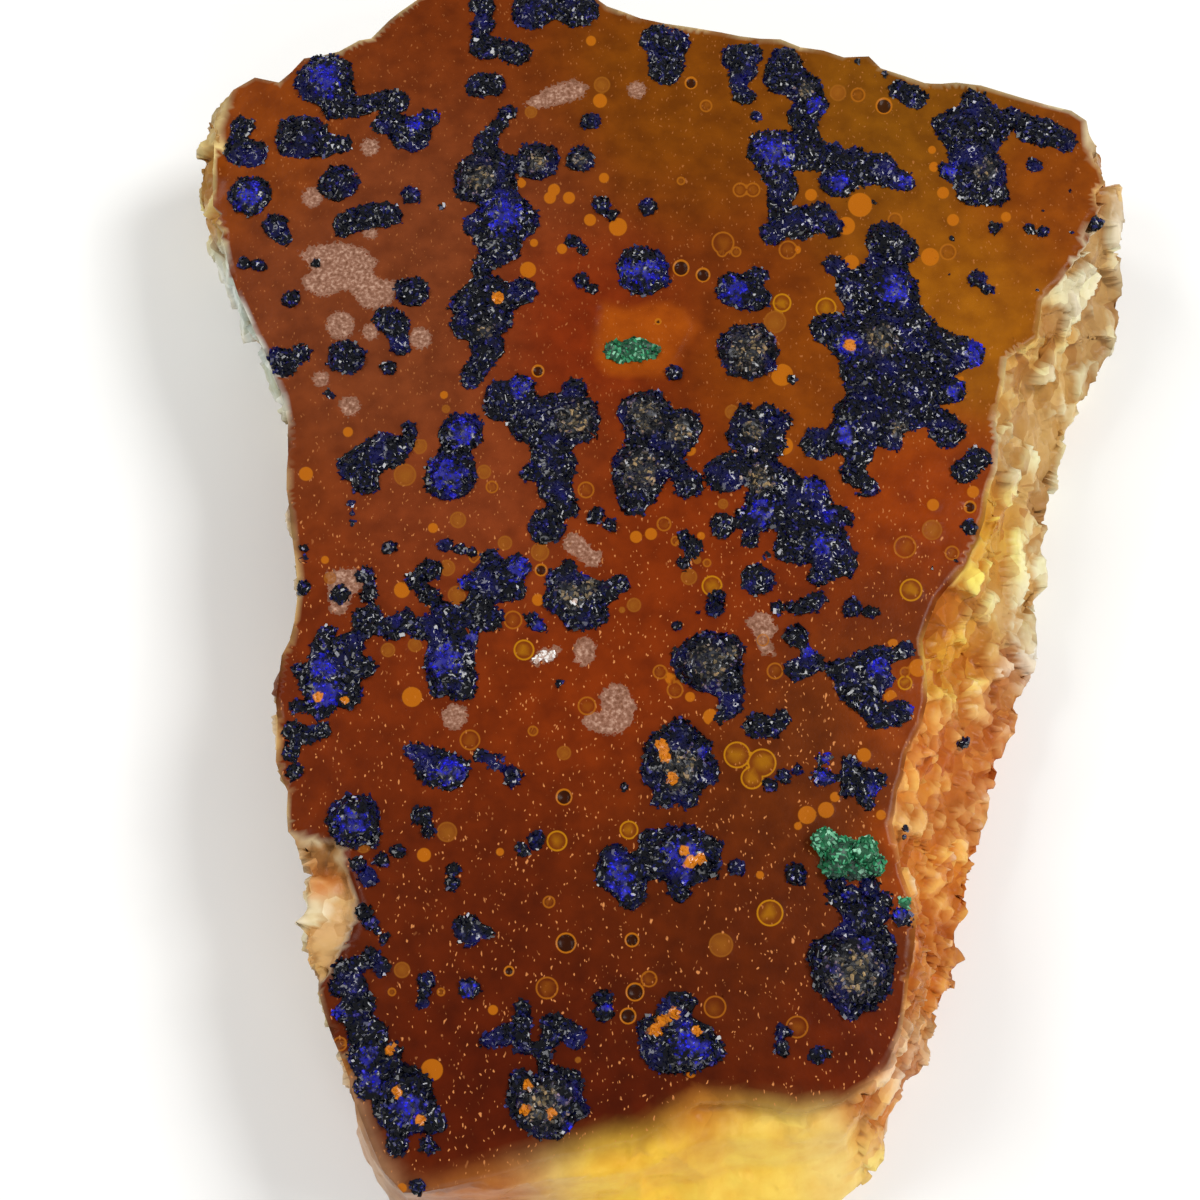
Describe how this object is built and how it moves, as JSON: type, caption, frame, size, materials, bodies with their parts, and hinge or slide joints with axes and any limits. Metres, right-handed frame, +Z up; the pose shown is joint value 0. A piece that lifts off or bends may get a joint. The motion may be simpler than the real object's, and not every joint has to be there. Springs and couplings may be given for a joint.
{
  "type": "mineral specimen",
  "caption": "Azurite specimen: dark blue crystal rosettes and crusts with green malachite patches, grown on a broken slab of brown stained quartz that lies flat.",
  "frame": {"origin": "on the flat base, under the middle of the smooth face", "axes": "+Z up out of the smooth face that carries the crystals, -Z out of the flat base; +Y from the narrow near end to the wide far end; +X to the rough broken wall"},
  "size_m": [0.1045, 0.1393, 0.0224],
  "materials": {
    "quartz": "smooth iron-stained brown face, rough cream, yellow and orange broken quartz on the walls",
    "azurite": "near-black blue crystals with small bright facets",
    "azurite_bright": "near-black blue crystals round velvety electric blue centres",
    "azurite_dusted": "dark blue-grey crystals dusted with tan grains",
    "malachite": "fine fibrous green, matt"
  },
  "bodies": {
    "root": {"matrix": "quartz", "azurite_corner_edge": "azurite", "azurite_corner_button": "azurite_bright", "azurite_far_left_branch": "azurite_bright", "azurite_far_left_rosette": "azurite", "azurite_far_left_button": "azurite", "azurite_left_bar": "azurite", "azurite_left_small_pair": "azurite", "azurite_left_round": "azurite", "azurite_peak_left": "azurite", "azurite_peak_right": "azurite", "azurite_far_oval": "azurite", "azurite_spine": "azurite_bright", "azurite_dusted_dot": "azurite_dusted", "azurite_blue_eye": "azurite_bright", "azurite_far_edge": "azurite", "azurite_far_knot": "azurite", "azurite_far_right_chain": "azurite_bright", "azurite_far_right_pair": "azurite", "azurite_right_corner": "azurite_dusted", "azurite_left_edge_crust": "azurite", "azurite_left_middle": "azurite", "azurite_left_hook": "azurite", "azurite_left_patch": "azurite", "azurite_blue_pair": "azurite_bright", "azurite_centre_left": "azurite_dusted", "azurite_centre": "azurite_dusted", "azurite_dusted_round": "azurite_dusted", "azurite_blue_knot": "azurite_bright", "azurite_centre_right": "azurite_dusted", "azurite_short_chain": "azurite", "azurite_right_mass": "azurite_bright", "azurite_right_rim_pair": "azurite", "azurite_left_mass": "azurite_bright", "azurite_left_rim": "azurite", "azurite_blue_nub": "azurite_bright", "azurite_blue_cushion": "azurite_bright", "azurite_low_hook": "azurite", "azurite_dusted_wing": "azurite_dusted", "azurite_dark_round": "azurite", "azurite_low_bead": "azurite", "azurite_low_bar": "azurite", "azurite_low_centre": "azurite_dusted", "azurite_dusted_low": "azurite_dusted", "azurite_low_knot": "azurite", "azurite_right_low_mass": "azurite_bright", "azurite_blue_finger": "azurite_bright", "azurite_blue_heart": "azurite_bright", "azurite_low_left_bean": "azurite", "azurite_blue_dome": "azurite_bright", "azurite_low_shell": "azurite", "azurite_near_left_mass": "azurite_bright", "azurite_near_button": "azurite_bright", "azurite_near_middle": "azurite_dusted", "azurite_near_round": "azurite_bright", "azurite_near_right": "azurite_dusted", "malachite_small": "malachite", "malachite_large": "malachite"}
  },
  "joints": []
}
